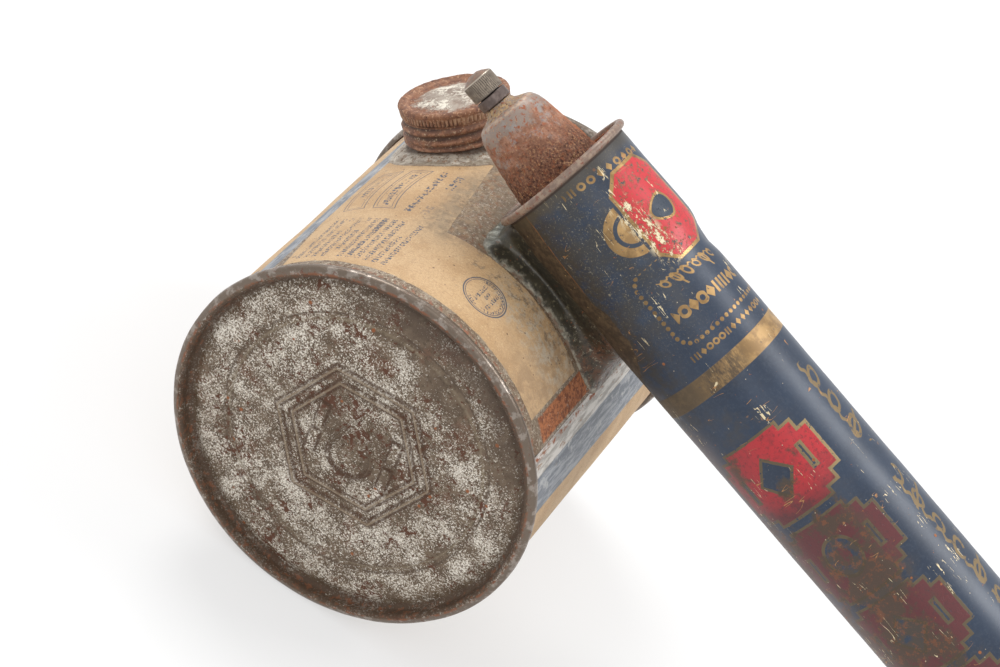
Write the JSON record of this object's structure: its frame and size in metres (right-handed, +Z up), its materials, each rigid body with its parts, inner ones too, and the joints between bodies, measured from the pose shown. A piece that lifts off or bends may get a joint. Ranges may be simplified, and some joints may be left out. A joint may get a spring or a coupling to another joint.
{
  "type": "hand pump sprayer",
  "caption": "Hand-pump sprayer: a round tin tank soldered across a long pump barrel, with a screw filler cap, a cone nozzle and a wooden plunger knob.",
  "frame": {"origin": "on the floor, under the middle of the sprayer's overall length and width in its resting pose, with both tank rims and the knob on the floor; the tank's axis is 147.7 mm towards -X", "axes": "+Z up; Y along the tank, +Y to the right seen from behind the nozzle; the barrel runs towards +X and slopes down 19.06 degrees, and the nozzle points towards -X and up"},
  "size_m": [0.4032, 0.1144, 0.1481],
  "materials": {
    "litho_tin": "beige and blue printed tin, worn, stained and rust spotted",
    "navy_paint": "dark navy enamel with red and gold printing, scratched and brown stained",
    "rusty_tin": "tinplate with silvery speckle and brown rust",
    "rust": "heavily rusted pressed steel",
    "soldered_tin": "dull tin with bright solder edges",
    "dark_brass": "dark grey-brown tarnished brass",
    "steel": "plain steel",
    "cork": "cork sheet",
    "leather": "oiled leather",
    "felt": "oiled felt",
    "bare_wood": "bare turned wood",
    "turned_wood": "turned hardwood, worn varnish"
  },
  "bodies": {
    "sprayer_can": {"tank_body": "litho_tin", "tank_end_left": "rusty_tin", "tank_end_right": "rusty_tin", "filler_neck": "soldered_tin", "pump_saddle": "soldered_tin", "pump_barrel": "navy_paint", "barrel_cap": "navy_paint", "rod_guide": "bare_wood", "oil_felt": "felt", "nozzle_cone": "rust", "nozzle_body": "dark_brass", "nozzle_jet": "dark_brass", "siphon_tube": "steel", "valve_plate": "steel", "valve_cage": "dark_brass"},
    "cap_liner": {"cap_gasket": "cork"},
    "cap": {"filler_cap": "rust"},
    "tip_liner": {"nozzle_packing": "leather"},
    "tip": {"nozzle_tip": "dark_brass"},
    "check_ball": {"valve_ball": "steel"},
    "plunger": {"plunger_rod": "steel", "plunger_cup": "leather", "cup_front_washer": "steel", "cup_back_washer": "steel", "plunger_nut": "steel", "handle_washer": "steel"},
    "handle": {"handle_knob": "turned_wood", "handle_ferrule": "rusty_tin"}
  },
  "joints": [
    {"name": "plunger_slide", "type": "slide", "parent": "sprayer_can", "child": "plunger", "axis": [0.9452, 0, -0.3266], "range_m": [0, 0.25]},
    {"name": "handle_turn", "type": "hinge", "parent": "plunger", "child": "handle", "pos_m": [0.17824, -0.0028, 0.01746], "axis": [0.9452, 0, -0.3266], "continuous": true},
    {"name": "cap_lift", "type": "slide", "parent": "sprayer_can", "child": "cap_liner", "axis": [-0.5813, 0, 0.8137], "range_m": [0, 0.0061]},
    {"name": "cap_turn", "type": "hinge", "parent": "cap_liner", "child": "cap", "pos_m": [-0.18258, 0.034, 0.10282], "axis": [-0.5813, 0, 0.8137], "range_deg": [0, 720]},
    {"name": "tip_advance", "type": "slide", "parent": "sprayer_can", "child": "tip_liner", "axis": [-0.9452, 0, 0.3266], "range_m": [0, 0.0012]},
    {"name": "tip_turn", "type": "hinge", "parent": "tip_liner", "child": "tip", "pos_m": [-0.17148, -0.0028, 0.13829], "axis": [-0.9452, 0, 0.3266], "range_deg": [0, 540]},
    {"name": "ball_lift", "type": "slide", "parent": "sprayer_can", "child": "check_ball", "axis": [-0.9452, 0, 0.3266], "range_m": [0, 0.0018]}
  ],
  "couplings": [
    {"joint": "cap_lift", "follows": "cap_turn", "m_per_rad": 0.00047746},
    {"joint": "tip_turn", "follows": "tip_advance", "rad_per_m": 7854}
  ]
}
